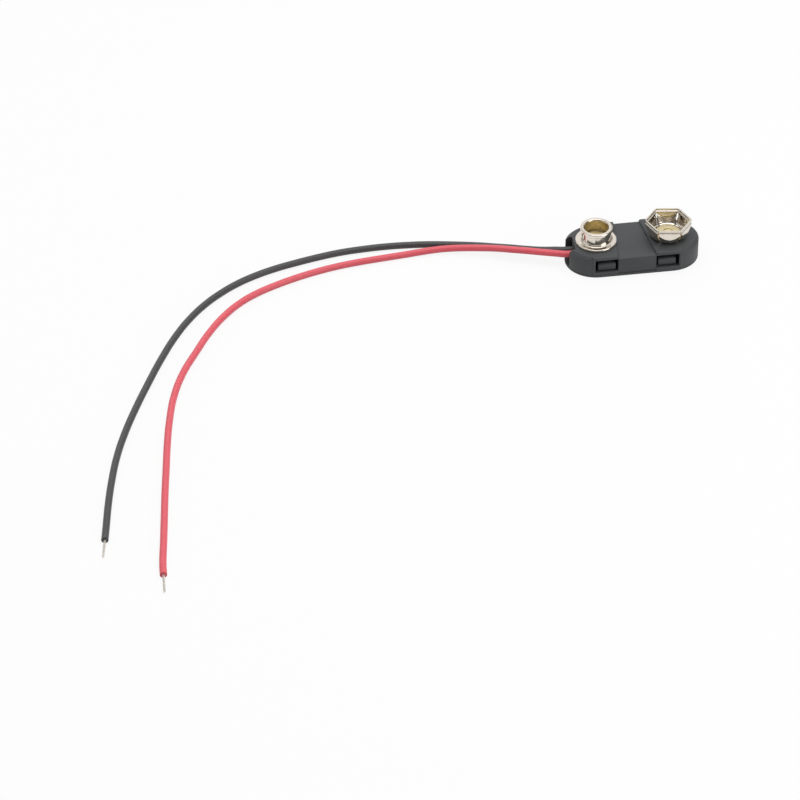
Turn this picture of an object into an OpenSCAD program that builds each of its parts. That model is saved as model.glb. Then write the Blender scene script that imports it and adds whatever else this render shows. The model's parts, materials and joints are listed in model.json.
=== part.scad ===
// 9 V battery snap. A hard two-piece housing carries a hollow stud and a six-leaf spring socket.
// Each is riveted through the roof to a solder tag, and a black and a red lead leave at the stud end.
// Millimetres. The origin is the middle of the underside, +X runs from stud to socket and +Z is up.

/* [Housing] */
// Distance from a terminal's axis to the nearer end of the housing
end_len = 5.4; // [5:0.1:6.5]
// Overall width of the housing
body_w = 10.6; // [10.2:0.1:12]
// Depth of the waist's top below the lobes
waist_drop = 0.45; // [0.2:0.05:0.7]
// Length of the waist along the front wall
waist_front = 6.7; // [6:0.1:7]
// Length of the waist along the back wall
waist_back = 4.5; // [4:0.1:6.5]
// Depth of the waist's side walls behind the lobes' walls
waist_recess = 0.12; // [0.06:0.02:0.4]
// How far the waist's roof stands out over its side walls
waist_lip = 0.1; // [0.05:0.01:0.25]
// Thickness of the lip along the waist's roof
waist_lip_t = 0.2; // [0.1:0.02:0.4]
// Thickness of the side walls
wall_t = 0.9; // [0.7:0.05:1.1]
// Thickness of the waist's roof
waist_roof_t = 0.6; // [0.4:0.05:0.8]
// Bevel along the lobes' edges over the waist
step_bevel = 0.2; // [0.1:0.05:0.3]
// Bevel along the top edge of the round ends
edge_bevel = 0.55; // [0.2:0.05:0.7]

/* [Cover] */
// Thickness of the cover's rim, which shows below the housing
rim_t = 0.45; // [0.35:0.05:0.6]
// Height of the cover's plug, which fits inside the walls
plug_t = 0.45; // [0.3:0.05:0.5]
// Clearance between the plug and the walls
cover_gap = 0.06; // [0.03:0.01:0.12]

/* [Latches] */
// Length of a latch window
window_w = 4.05; // [3.8:0.05:4.3]
// Height of a window's sill above the cover's plug
sill = 0.15; // [0.1:0.05:0.3]
// Height of the wall above a window
lintel = 0.55; // [0.4:0.05:0.7]
// Length of wall between a window and the bevel
window_margin = 0.4; // [0.3:0.05:0.6]
// Clearance between a hook and its window towards the waist
hook_in_gap = 0.4; // [0.3:0.02:0.6]
// Clearance between a hook and its window towards the round end
hook_out_gap = 0.55; // [0.3:0.05:0.7]
// Clearance between a hook and its sill
hook_sill_gap = 0.2; // [0.1:0.05:0.3]
// Clearance between a hook and the ceiling
hook_roof_gap = 0.45; // [0.2:0.05:0.6]
// Thickness of a hook's arm
hook_arm_t = 0.6; // [0.5:0.05:0.7]
// How much longer a hook's nose is than its arm
hook_heel = 0.5; // [0.4:0.05:0.8]
// Depth of a hook's nose behind the outside face
hook_set = 0.42; // [0.2:0.02:0.5]
// Lead-in bevel on a hook's nose
hook_bevel = 0.2; // [0.1:0.05:0.4]

/* [Terminals] */
// Distance between the two terminals
pitch = 12.7; // [12.6:0.05:12.8]
// Thickness of the drawn sheet metal
sheet_t = 0.27; // [0.2:0.01:0.3]

/* [Stud] */
// Height of the stud above the lobe
stud_h = 3.05; // [2.8:0.05:3.4]
// Diameter of the barrel below the rim
barrel_d = 5.16; // [5:0.02:5.3]
// How far the rolled rim stands out from the barrel
rim_roll = 0.24; // [0.15:0.01:0.3]
// Height of the rolled rim
rim_h = 0.66; // [0.55:0.02:0.8]
// Rounding of the rim's edges
rim_round = 0.13; // [0.08:0.01:0.16]
// Width of the flange round the barrel
flange_w = 1.05; // [0.9:0.05:1.2]
// Height of the flange's edge
flange_h = 0.5; // [0.45:0.01:0.6]
// Rounding of the flange's edge
flange_round = 0.2; // [0.1:0.02:0.25]
// Fillet between barrel and flange
stud_fillet = 0.4; // [0.2:0.02:0.5]
// Width of the flange's edge that is crimped under the washer
crimp = 0.1; // [0.05:0.01:0.12]
// Clearance round the washer
washer_gap = 0.02; // [0.01:0.01:0.05]

/* [Socket] */
// Size of the crown across its corners, at the lip
crown_d = 8.24; // [7.9:0.02:8.4]
// Height of the crown above the lobe
crown_h = 3.1; // [2.9:0.05:3.4]
// Height of the bowl at the crown's corners
bowl_h = 2.35; // [2.1:0.05:2.4]
// Bend between the crown's floor and its bowl
bowl_bend = 1; // [0.8:0.05:1.1]
// Width of the crown's floor round the rivet's head
floor_margin = 0.3; // [0.2:0.05:0.4]
// Height of a leaf's lip
lip_h = 0.22; // [0.15:0.01:0.4]
// Height of the groove below the lip
groove_h = 0.46; // [0.4:0.02:0.6]
// Depth of that groove
groove_depth = 0.3; // [0.2:0.02:0.4]
// Width of the slit between two leaves
slit_w = 0.16; // [0.1:0.02:0.3]
// Turn of the crown about its rivet
crown_turn = -8; // [-30:1:30]

/* [Rivets and tags] */
// Outside diameter of a rivet's barrel
rivet_d = 2.4; // [2.2:0.05:2.5]
// Bore of a rivet, from its clinched end, and width of the dish in its head
rivet_bore = 1.6; // [1.4:0.05:1.7]
// Depth of the dish in a rivet's head
rivet_dish = 0.3; // [0.25:0.05:0.4]
// Metal left between the dish and the bore
rivet_web = 0.4; // [0.3:0.05:0.6]
// Clearance between a rivet's head and the stud's bore
rivet_head_gap = 0.2; // [0.1:0.05:0.4]
// Height of a rivet's head
rivet_head_h = 0.55; // [0.4:0.05:0.6]
// Rounding of the head's outer edge
rivet_head_round = 0.25; // [0.15:0.05:0.3]
// Rounding of the head's mouth
rivet_mouth_round = 0.15; // [0.1:0.05:0.2]
// Diameter of the clinched end below the tag
clinch_d = 3.2; // [3:0.05:3.3]
// Height of the clinched end
clinch_h = 0.25; // [0.2:0.01:0.3]
// Rounding of the clinched end
clinch_round = 0.12; // [0.05:0.01:0.15]
// Clearance round a rivet's barrel
rivet_gap = 0.05; // [0.02:0.01:0.1]
// Diameter of a solder tag's ring
tag_d = 4.2; // [4:0.05:4.3]
// Thickness of a solder tag
tag_t = 0.3; // [0.2:0.02:0.35]
// Width of a tag's tail
tag_tail_w = 1.1; // [0.9:0.05:1.15]

/* [Leads] */
// Diameter of a lead over its insulation
lead_d = 1.2; // [1.1:0.02:1.24]
// Gap between the two leads where they leave the housing
lead_gap = 0.1; // [0.06:0.02:0.3]
// Drop of a lead's middle below its tag
lead_drop = 0.45; // [0.4:0.01:0.5]
// Clearance between the red lead and the cover's plug
lead_floor_gap = 0.1; // [0.05:0.05:0.2]
// Clearance between the red lead and the rivet that it passes under
lead_rivet_gap = 0.25; // [0.1:0.05:0.4]
// Diameter of the tinned strands
strand_d = 0.42; // [0.36:0.02:0.5]
// Length of a tinned free end
tip_len = 4.2; // [3:0.1:6]
// Length of insulation inside the clamp
strip_in = 0.3; // [0.2:0.05:0.4]
// Distance between a lead's insulation and its tag
strip_gap = 0.2; // [0.15:0.05:0.3]
// Distance between the stripped strands and the rivet's clinched end
strand_gap = 0.05; // [0.02:0.01:0.1]
// Greatest diameter of a solder joint
solder_d = 1.1; // [1:0.02:1.2]
// Length of bare strands past the solder
solder_gap = 0.1; // [0.05:0.05:0.2]
// Width of the slot that the leads leave by
slot_w = 3.8; // [3.4:0.1:4.2]
// Depth of that slot into the end of the housing
slot_depth = 1.5; // [1:0.05:1.6]
// Thickness of the clamp behind the slot
clamp_t = 0.8; // [0.6:0.05:0.85]
// Clearance round a lead in the clamp
clamp_gap = 0.05; // [0.02:0.01:0.08]
// Gap between the clamp's halves
clamp_part = 0.06; // [0.02:0.01:0.1]

/* [Hidden] */
$fn = 64;

// How far a cut runs past the face that it opens, and a block into the one that carries it
cut = 0.2;

// Heights, stacked from the underside: plug, red lead, rivet, tag, roof and lobes
plug_top = rim_t + plug_t;
under_rivet_z = plug_top + lead_floor_gap + lead_d / 2;
clinch_low = under_rivet_z + lead_d / 2 + lead_rivet_gap;
tag_low = clinch_low + clinch_h;
ceiling = tag_low + tag_t;
waist_top = ceiling + waist_roof_t;
lobe_top = waist_top + waist_drop;
roof_t = lobe_top - ceiling;
exit_z = tag_low - lead_drop;

// Lengths of the housing
body_len = pitch + 2 * end_len;
end_r = body_w / 2;
end_x = body_len / 2 - end_r;
step_front = [waist_front / 2, -body_w / 2];
step_back = [waist_back / 2, body_w / 2];
step_mid = (step_front + step_back) / 2;
step_len = norm(step_back - step_front);
step_angle = atan2(step_back.y - step_front.y, step_back.x - step_front.x);

// Latches
window_in = waist_front / 2;
window_end = window_in + window_w + window_margin;
window_low = plug_top + sill;
window_h = lobe_top - lintel - window_low;
hook_in = window_in + hook_in_gap;
hook_w = window_w - hook_in_gap - hook_out_gap;
hook_low = window_low + hook_sill_gap;
hook_top = ceiling - hook_roof_gap;
hook_arm_y = body_w / 2 - wall_t - cover_gap;
hook_face_y = body_w / 2 - hook_set;
plug_len = body_len - 2 * (wall_t + cover_gap);
plug_w = body_w - 2 * (wall_t + cover_gap);

// Terminals
stud_x = -pitch / 2;
socket_x = pitch / 2;
bore_r = barrel_d / 2 - sheet_t;
rim_r = barrel_d / 2 + rim_roll;
flange_r = barrel_d / 2 + flange_w;
washer_t = flange_h - sheet_t;
washer_r = flange_r - sheet_t;
rivet_head_r = bore_r - rivet_head_gap;
hole_r = rivet_d / 2 + rivet_gap;
floor_r = rivet_head_r + floor_margin;
crown_r = crown_d / 2;
crown_flat = crown_r * cos(30);

// Leads
lead_pitch = lead_d + lead_gap;
lead_y = lead_pitch / 2;
clamp_x = -body_len / 2 + slot_depth;
clamp_end = clamp_x + clamp_t;
black_strip_x = clamp_end + strip_in;
red_strip_x = socket_x - (stud_x - black_strip_x);
tag_reach = stud_x - black_strip_x - strip_gap;
inner_len = stud_x - clinch_d / 2 - strand_gap - black_strip_x;
solder_len = inner_len - strip_gap - solder_gap;

// Routes outside the housing: distance from its end, side and clear height under the lead
black_outside = [
    [-0.15, 0.7, 1.65], [-1.55, 1.15, 1.5], [-4.05, 1.95, 1.2], [-6.45, 2.95, 0.95], [-8.95, 4.1, 0.7],
    [-11.35, 5.2, 0.4], [-13.85, 6.2, 0.2], [-16.35, 7, 0.05], [-18.95, 7.6, 0], [-22.35, 8.2, 0],
    [-26.25, 8.6, 0], [-30.25, 8.75, 0], [-34.25, 8.6, 0], [-38.25, 8.2, 0], [-42.25, 7.4, 0],
    [-46.25, 6.35, 0], [-50.25, 5.1, 0], [-54.25, 3.4, 0], [-57.55, 1.5, 0], [-60.35, -0.6, 0],
    [-63.35, -3.4, 0], [-66.35, -7, 0], [-69.45, -11.8, 0], [-72.75, -18.2, 0], [-75.65, -24.6, 0],
    [-78.35, -30.9, 0], [-80.75, -37.1, 0], [-82.75, -43.3, 0], [-84.25, -49.5, 0], [-85.45, -55.6, 0],
    [-86.45, -61.7, 0], [-86.95, -64.7, 0]];
red_outside = [
    [-0.15, -0.55, 1.65], [-1.65, -0.1, 1.65], [-4.15, 0.75, 1.6], [-6.65, 1.7, 1.5], [-9.15, 2.75, 1.3],
    [-11.55, 3.75, 1.1], [-14.15, 4.7, 0.8], [-16.65, 5.45, 0.55], [-19.25, 6, 0.35], [-21.85, 6.2, 0.2],
    [-24.45, 6.15, 0.05], [-27.25, 5.85, 0], [-31.25, 5.4, 0], [-35.25, 4.9, 0], [-39.25, 4.2, 0],
    [-43.25, 3.15, 0], [-47.25, 1.75, 0], [-51.25, 0, 0], [-54.45, -1.75, 0], [-57.35, -3.9, 0],
    [-60.35, -7, 0], [-63.45, -11.3, 0], [-66.65, -17, 0], [-69.35, -22.2, 0], [-71.65, -28.5, 0],
    [-73.15, -35, 0], [-74.25, -41.4, 0], [-75.15, -47.7, 0], [-76.05, -54, 0], [-76.85, -60.1, 0],
    [-77.65, -66.2, 0], [-78.45, -72.2, 0], [-78.65, -74.8, 0]];
function outside(points) = [for (p = points) p + [-body_len / 2, 0, lead_d / 2]];

// The red lead's way down from its tag, in lead diameters, and up to the clamp, as a share of that run
red_down = [[0, 1], [0.5, 1], [1.4, 0.75], [2.3, 0.25]];
red_up = [[0.45, 0.08], [0.65, 0.4], [0.85, 0.8], [1, 1]];
function rise_x(share) = stud_x - share * (stud_x - clamp_end);
function rise_z(share) = under_rivet_z + share * (exit_z - under_rivet_z);

// Whole routes, from the stripped end in the housing to the free end on the table
black_route = concat([[black_strip_x, lead_y, exit_z], [clamp_x, lead_y, exit_z]], outside(black_outside));
red_route = concat(
    [for (p = red_down) [red_strip_x - p.x * lead_d, -lead_y, rise_z(p.y)]],
    [[0, -lead_y, under_rivet_z], [stud_x, -lead_y, under_rivet_z]],
    [for (p = red_up) [rise_x(p.x), -lead_y, rise_z(p.y)]],
    [[clamp_x, -lead_y, exit_z]], outside(red_outside));

// Points along an arc of a profile
function arc(centre, r, from, to, steps = 6) =
    [for (i = [0:steps]) let (a = from + (to - from) * i / steps) centre + r * [cos(a), sin(a)]];

// A path with a share of each corner cut, which rounds a folded sheet's bends
corner_share = 0.25;
function between(a, b, share) = a + share * (b - a);
function rounded(path, times) = times == 0 ? path : rounded(
    concat([path[0]],
        [for (i = [0:len(path) - 2]) each [between(path[i], path[i + 1], corner_share),
            between(path[i + 1], path[i], corner_share)]],
        [path[len(path) - 1]]), times - 1);

// Other face of a sheet of thickness t that lies on the left of a path
function unit(v) = v / norm(v);
function side(path, i) = let (
    d = unit(path[min(i + 1, len(path) - 1)] - path[max(i - 1, 0)])) [-d.y, d.x];
function inner_face(path, t) = [for (i = [0:len(path) - 1]) path[i] + t * side(path, i)];

// Direction of a route at one of its points
function heading(route, i) = unit(route[min(i + 1, len(route) - 1)] - route[max(i - 1, 0)]);

module stadium(l, w) {
    square([l - w, w], center = true);
    for (s = [-1, 1])
        translate([s * (l - w) / 2, 0])
            circle(d = w);
}

// Puts what is drawn at +X, +Y at all four corners
module four_corners() {
    for (flip_x = [0, 1], flip_y = [0, 1])
        mirror([flip_x, 0, 0])
            mirror([0, flip_y, 0])
                children();
}

// Outline of the lobe at +X: the housing's own, past the slanted step, with square ends along the windows
module lobe_plan() {
    intersection() {
        stadium(body_len, body_w);
        translate(step_mid)
            rotate(step_angle - 90)
                translate([0, -body_len / 2])
                    square(body_len);
    }
    for (flip = [0, 1])
        mirror([0, flip])
            translate([window_in, (body_w - wall_t) / 2])
                square([window_end - window_in, wall_t / 2]);
}

// What the bevel takes off the top edge of the round end
module end_bevel() {
    low = lobe_top - edge_bevel - cut;
    from_x = max(window_end, end_x);
    intersection() {
        translate([end_x, 0, 0])
            rotate_extrude()
                polygon([[end_r + cut, low], [end_r + cut, lobe_top + cut],
                    [end_r - edge_bevel - cut, lobe_top + cut]]);
        translate([from_x, -body_w, low - cut])
            cube([body_w, 2 * body_w, edge_bevel + 4 * cut]);
    }
}

module lobe() {
    step_side = step_bevel * sqrt(2);
    difference() {
        translate([0, 0, rim_t])
            linear_extrude(lobe_top - rim_t)
                lobe_plan();
        translate([step_mid.x, step_mid.y, lobe_top])
            rotate([0, 0, step_angle])
                rotate([45, 0, 0])
                    cube([step_len + 2 * cut, step_side, step_side], center = true);
        end_bevel();
        // The front window runs out through the step, so that no sharp strip is left beside the waist
        translate([window_in - window_margin, -body_w / 2 - cut, window_low])
            cube([window_margin + cut, wall_t / 2 + cut, window_h]);
    }
}

module waist() {
    inner_w = body_w - 2 * waist_recess;
    translate([-waist_front / 2, -inner_w / 2, rim_t])
        cube([waist_front, inner_w, waist_top - rim_t]);
    translate([-waist_front / 2, -inner_w / 2 - waist_lip, waist_top - waist_lip_t])
        cube([waist_front, inner_w + 2 * waist_lip, waist_lip_t]);
}

// One half of the lead clamp: a block with two half-round grooves
module clamp_half(low, top, width) {
    difference() {
        translate([clamp_x, -width / 2, low])
            cube([clamp_t, width, top - low]);
        for (s = [-1, 1])
            translate([clamp_x - cut, s * lead_y, exit_z])
                rotate([0, 90, 0])
                    cylinder(d = lead_d + 2 * clamp_gap, h = clamp_t + 2 * cut);
    }
}

module top_housing() {
    color("#3a3b3d") {
        difference() {
            union() {
                lobe();
                mirror([1, 0, 0])
                    lobe();
                waist();
            }
            translate([0, 0, rim_t - cut])
                linear_extrude(ceiling - rim_t + cut)
                    stadium(body_len - 2 * wall_t, body_w - 2 * wall_t);
            four_corners()
                translate([window_in, body_w / 2 - wall_t - cut, window_low])
                    cube([window_w, wall_t + 2 * cut, window_h]);
            for (x = [stud_x, socket_x])
                translate([x, 0, ceiling - cut])
                    cylinder(r = hole_r, h = roof_t + 2 * cut);
            translate([-body_len / 2 - cut, -slot_w / 2, rim_t - cut])
                cube([slot_depth + cut, slot_w, lobe_top - rim_t + 2 * cut]);
            translate([clamp_x - cut, -slot_w / 2, rim_t - cut])
                cube([clamp_t + cut, slot_w, ceiling - rim_t + cut]);
        }
        clamp_half(exit_z + clamp_part / 2, ceiling + cut, slot_w);
    }
}

// The hook at +X, +Y: an arm that stands on the plug, with a nose in its window
module hook() {
    translate([hook_in, hook_arm_y - hook_arm_t, rim_t])
        cube([hook_w - hook_heel, hook_arm_t, hook_top - rim_t]);
    translate([hook_in, 0, 0])
        rotate([90, 0, 90])
            linear_extrude(hook_w)
                polygon([[hook_arm_y - hook_arm_t / 2, hook_low], [hook_face_y, hook_low],
                    [hook_face_y, hook_top - hook_bevel], [hook_face_y - hook_bevel, hook_top],
                    [hook_arm_y - hook_arm_t / 2, hook_top]]);
}

module bottom_cover() {
    color("#343537") {
        linear_extrude(rim_t)
            stadium(body_len, body_w);
        linear_extrude(plug_top)
            stadium(plug_len, plug_w);
        four_corners()
            hook();
        clamp_half(rim_t, exit_z - clamp_part / 2, slot_w - 2 * cover_gap);
    }
}

module male_stud() {
    barrel_r = barrel_d / 2;
    fillet_at = [barrel_r + stud_fillet, flange_h + stud_fillet];
    rim_low = stud_h - rim_h;
    color("#d9dadc")
        translate([stud_x, 0, lobe_top])
            rotate_extrude()
                polygon(concat(
                    [[washer_r - crimp, 0], [flange_r, 0]],
                    arc([flange_r - flange_round, flange_h - flange_round], flange_round, 0, 90),
                    arc(fillet_at, stud_fillet, 270, 180),
                    [[barrel_r, rim_low - rim_round]],
                    arc([rim_r - rim_round, rim_low + rim_round], rim_round, -60, 0),
                    arc([rim_r - rim_round, stud_h - rim_round], rim_round, 0, 90),
                    arc([bore_r + rim_round, stud_h - rim_round], rim_round, 90, 180),
                    arc(fillet_at, stud_fillet + sheet_t, 180, 270),
                    [[washer_r, washer_t], [washer_r, crimp]]));
}

module male_base_washer() {
    edge_r = washer_r - washer_gap;
    color("#c9c7bf")
        translate([stud_x, 0, lobe_top])
            rotate_extrude()
                polygon([[hole_r, 0], [edge_r - crimp, 0], [edge_r, crimp], [edge_r, washer_t],
                    [hole_r, washer_t]]);
}

// A semi-tubular rivet: its dished head bears on a seat above the roof and its end is clinched under a tag
module rivet(seat) {
    mouth_r = rivet_bore / 2;
    barrel_r = rivet_d / 2;
    head_top = seat + rivet_head_h;
    dish_z = head_top - rivet_dish;
    bore_end = dish_z - rivet_web;
    clinch_r = clinch_d / 2;
    rotate_extrude()
        polygon(concat(
            [[0, bore_end], [mouth_r, bore_end], [mouth_r, clinch_low]],
            arc([clinch_r - clinch_round, clinch_low + clinch_round], clinch_round, -90, 0, 3),
            [[clinch_r, tag_low], [barrel_r, tag_low], [barrel_r, seat], [rivet_head_r, seat]],
            arc([rivet_head_r - rivet_head_round, head_top - rivet_head_round], rivet_head_round, 0, 90),
            arc([mouth_r + rivet_mouth_round, head_top - rivet_mouth_round],
                rivet_mouth_round, 90, 180, 3),
            [[mouth_r, dish_z], [0, dish_z]]));
}

module male_rivet() {
    color("#d8b25c")
        translate([stud_x, 0, 0])
            rivet(lobe_top + washer_t);
}

module female_rivet() {
    color("#d8b25c")
        translate([socket_x, 0, 0])
            rivet(lobe_top + sheet_t);
}

// A ring under the roof with a tail towards the lead, off the rivet's axis by the lead's own offset
module solder_tag(offset_y) {
    translate([0, 0, tag_low])
        linear_extrude(tag_t)
            difference() {
                union() {
                    circle(d = tag_d);
                    translate([-tag_reach, offset_y - tag_tail_w / 2])
                        square([tag_reach, tag_tail_w]);
                }
                circle(r = hole_r);
            }
}

module male_solder_tag() {
    color("#c8c2ae")
        translate([stud_x, 0, 0])
            solder_tag(lead_y);
}

module female_solder_tag() {
    color("#c8c2ae")
        translate([socket_x, 0, 0])
            solder_tag(-lead_y);
}

// Outside of the crown's bowl, from the axis out, and of a panel with its groove and lip, going up
crown_end = crown_h + cut;
groove_top = crown_h - lip_h;
bend_at = [floor_r, bowl_bend];
bowl_top = [crown_r, bowl_h];
bowl_way = bowl_top - bend_at;
bend_end = atan2(bowl_way.y, bowl_way.x) - acos(bowl_bend / norm(bowl_way));
bowl_path = concat([[0, 0]], arc(bend_at, bowl_bend, -90, bend_end), [bowl_top, [crown_r, crown_end]]);
panel_path = concat([[crown_flat, -cut]], rounded([
    [crown_flat, groove_top - 2 * groove_h], [crown_flat, groove_top - groove_h],
    [crown_flat - groove_depth, groove_top - groove_h / 2], [crown_flat, groove_top],
    [crown_flat, crown_end]], 2));

// What a bowl and a panel enclose, along one flat of the hexagon
module crown_fill(panel, bowl) {
    intersection() {
        rotate([90, 0, 0])
            linear_extrude(crown_d, center = true)
                polygon(concat([[0, -cut]], panel, [[0, crown_end]]));
        rotate_extrude()
            polygon(concat(bowl, [[0, crown_end]]));
    }
}

// One leaf of the crown, between two slits
module leaf() {
    reach = crown_d;
    side_y = (reach - slit_w) * tan(30);
    intersection() {
        difference() {
            crown_fill(panel_path, bowl_path);
            crown_fill(inner_face(panel_path, sheet_t), inner_face(bowl_path, sheet_t));
        }
        translate([0, 0, -cut])
            linear_extrude(crown_h + cut)
                polygon([[slit_w, 0], [reach, -side_y], [reach, side_y]]);
    }
}

module female_socket() {
    color("#d9dadc")
        translate([socket_x, 0, lobe_top])
            difference() {
                union() {
                    cylinder(r = floor_r, h = sheet_t);
                    for (i = [0:5])
                        rotate([0, 0, 30 + crown_turn + 60 * i])
                            leaf();
                }
                translate([0, 0, -cut])
                    cylinder(r = hole_r, h = sheet_t + 2 * cut);
            }
}

// A tube of eight sides, swept along a route
module lead(route) {
    sides = 8;
    ends = len(route);
    points = [for (i = [0:ends - 1]) let (
            d = heading(route, i),
            across = unit(cross(d, [0, 0, 1])),
            up = cross(across, d))
        for (k = [0:sides - 1]) let (a = 360 * (k + 0.5) / sides)
            route[i] + lead_d / 2 * (across * cos(a) + up * sin(a))];
    walls = [for (i = [0:ends - 2], k = [0:sides - 1]) let (n = (k + 1) % sides)
        [i * sides + k, i * sides + n, (i + 1) * sides + n, (i + 1) * sides + k]];
    start = [for (k = [sides - 1:-1:0]) k];
    finish = [for (k = [0:sides - 1]) (ends - 1) * sides + k];
    polyhedron(points, concat(walls, [start, finish]));
}

// Tinned strands that go on from a route's last point
module tip(route) {
    d = heading(route, len(route) - 1);
    translate(route[len(route) - 1])
        rotate([0, acos(d.z), atan2(d.y, d.x)])
            cylinder(d = strand_d, h = tip_len);
}

module black_lead() {
    color("#2b2c2e")
        lead(black_route);
}

module red_lead() {
    color("#d8343c")
        lead(red_route);
}

module black_lead_tip() {
    color("#cfcdc8")
        tip(black_route);
}

module red_lead_tip() {
    color("#cfcdc8")
        tip(red_route);
}

// Strands between the insulation and the tag
module inner_end(strip_x, y) {
    translate([strip_x, y, exit_z])
        rotate([0, 90, 0])
            cylinder(d = strand_d, h = inner_len);
}

module black_inner_end() {
    color("#c98a55")
        inner_end(black_strip_x, lead_y);
}

module red_inner_end() {
    color("#c98a55")
        inner_end(red_strip_x, -lead_y);
}

// Solder round the strands, flat against the tag's underside
module solder_joint(strip_x, y) {
    strand_r = strand_d / 2;
    belly = solder_d / 2 - strand_r;
    half = solder_len / 2;
    difference() {
        translate([strip_x + strip_gap + half, y, exit_z])
            rotate([0, 90, 0])
                rotate_extrude()
                    polygon([for (p = arc([0, 0], 1, -90, 90)) [strand_r + belly * p.x, half * p.y]]);
        translate([strip_x, y - solder_d, tag_low])
            cube([solder_len + 2 * strip_gap, 2 * solder_d, solder_d]);
    }
}

module black_solder_joint() {
    color("#b9bbbd")
        solder_joint(black_strip_x, lead_y);
}

module red_solder_joint() {
    color("#b9bbbd")
        solder_joint(red_strip_x, -lead_y);
}

top_housing();
bottom_cover();
male_stud();
male_base_washer();
male_rivet();
male_solder_tag();
female_socket();
female_rivet();
female_solder_tag();
black_lead();
red_lead();
black_lead_tip();
red_lead_tip();
black_inner_end();
red_inner_end();
black_solder_joint();
red_solder_joint();
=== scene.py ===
# %% [markdown]
# # A 9 V battery snap
# The object is a small black housing with two metal snaps on top and two leads at one end.
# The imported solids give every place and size, so this lesson loads them first and then gives
# each one the softer edges, fine shapes and finishes that the real piece has.

# %% Load the solids
import json
import math

import bmesh
import bpy
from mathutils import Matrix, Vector

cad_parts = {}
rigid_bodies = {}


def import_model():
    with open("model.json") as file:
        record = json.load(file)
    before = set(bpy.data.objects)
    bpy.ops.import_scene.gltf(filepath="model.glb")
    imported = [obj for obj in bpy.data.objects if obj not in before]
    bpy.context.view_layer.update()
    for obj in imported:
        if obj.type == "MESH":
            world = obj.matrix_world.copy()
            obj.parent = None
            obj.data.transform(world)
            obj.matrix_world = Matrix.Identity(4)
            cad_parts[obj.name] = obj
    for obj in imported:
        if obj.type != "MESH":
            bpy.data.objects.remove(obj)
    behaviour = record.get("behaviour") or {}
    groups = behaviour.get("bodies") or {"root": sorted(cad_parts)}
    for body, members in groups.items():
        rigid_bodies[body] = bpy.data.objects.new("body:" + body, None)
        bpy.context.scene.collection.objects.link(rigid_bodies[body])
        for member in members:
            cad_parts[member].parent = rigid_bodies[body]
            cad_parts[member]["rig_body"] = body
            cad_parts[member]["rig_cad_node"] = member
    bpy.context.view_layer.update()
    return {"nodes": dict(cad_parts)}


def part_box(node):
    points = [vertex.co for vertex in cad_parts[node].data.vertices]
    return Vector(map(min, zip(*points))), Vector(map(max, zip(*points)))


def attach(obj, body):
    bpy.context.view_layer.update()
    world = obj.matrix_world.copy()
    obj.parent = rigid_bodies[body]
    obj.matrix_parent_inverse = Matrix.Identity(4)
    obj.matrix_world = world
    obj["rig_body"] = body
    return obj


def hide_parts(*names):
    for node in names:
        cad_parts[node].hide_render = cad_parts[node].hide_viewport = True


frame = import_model()
MM = 0.001

# %% [markdown]
# ## Camera
# The picture was taken from in front, about 37 degrees up and a little to the left, with a long
# lens, because the far edges of the housing hardly shrink. A camera that looks at one point
# from an angle and a distance is easier to match to a picture than one placed by coordinates.

# %% Place the camera
AZIMUTH, ELEVATION = math.radians(-8.86), math.radians(37.257)
LOOK_AT = Vector((-46.178, -34.563, 0)) * MM
CAMERA_DISTANCE = 741.87 * MM
LENS_MM = 200
NEAREST_SEEN = 50 * MM

to_camera = Vector((math.sin(AZIMUTH) * math.cos(ELEVATION), -math.cos(AZIMUTH) * math.cos(ELEVATION),
                    math.sin(ELEVATION)))
bpy.ops.object.camera_add(location=LOOK_AT + to_camera * CAMERA_DISTANCE,
                          rotation=(-to_camera).to_track_quat("-Z", "Y").to_euler())
camera = bpy.context.object
camera.data.lens = LENS_MM
camera.data.clip_start = NEAREST_SEEN
bpy.context.scene.camera = camera
bpy.context.scene.view_settings.view_transform = "Standard"
print("camera at", [round(v / MM) for v in camera.location], "mm")

# %% [markdown]
# ## Leads
# Each lead is stranded wire in a PVC jacket, 1.2 mm thick. It is soldered inside the housing, leaves
# through the slot at the stud's end and lies on the table. A bezier curve with a round bevel is the
# natural tool for it: a few listed points give the lay, and the curve stays smooth between them. Points
# outside give the distance from the housing's end, the side, and the clear height under the lead. The
# bevel is 1 deep and each point's radius scales it to the jacket's, because Blender counts that radius
# when it measures the curve's box.

# %% Route the leads
LEAD_R = 0.6
EXIT_Z = 2.25
LEAD_Y = 0.65
HOUSING_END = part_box("bottom_cover")[0].x / MM
BLACK_INSIDE = [(-9.15, LEAD_Y, EXIT_Z), (-10.25, LEAD_Y, EXIT_Z)]
BLACK_OUTSIDE = [
    (-0.15, 0.7, 1.65), (-1.55, 1.15, 1.5), (-4.05, 1.95, 1.2), (-6.45, 2.95, 0.95), (-8.95, 4.1, 0.7),
    (-11.35, 5.2, 0.4), (-13.85, 6.2, 0.2), (-16.35, 7, 0.05), (-18.95, 7.6, 0), (-22.35, 8.2, 0),
    (-26.25, 8.6, 0), (-30.25, 8.75, 0), (-34.25, 8.6, 0), (-38.25, 8.2, 0), (-42.25, 7.4, 0),
    (-46.25, 6.35, 0), (-50.25, 5.1, 0), (-54.25, 3.4, 0), (-57.55, 1.5, 0), (-60.35, -0.6, 0),
    (-63.35, -3.4, 0), (-66.35, -7, 0), (-69.45, -11.8, 0), (-72.75, -18.2, 0), (-75.65, -24.6, 0),
    (-78.35, -30.9, 0), (-80.75, -37.1, 0), (-82.75, -43.3, 0), (-84.25, -49.5, 0), (-85.45, -55.6, 0),
    (-86.45, -61.7, 0), (-86.95, -64.7, 0)]
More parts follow.
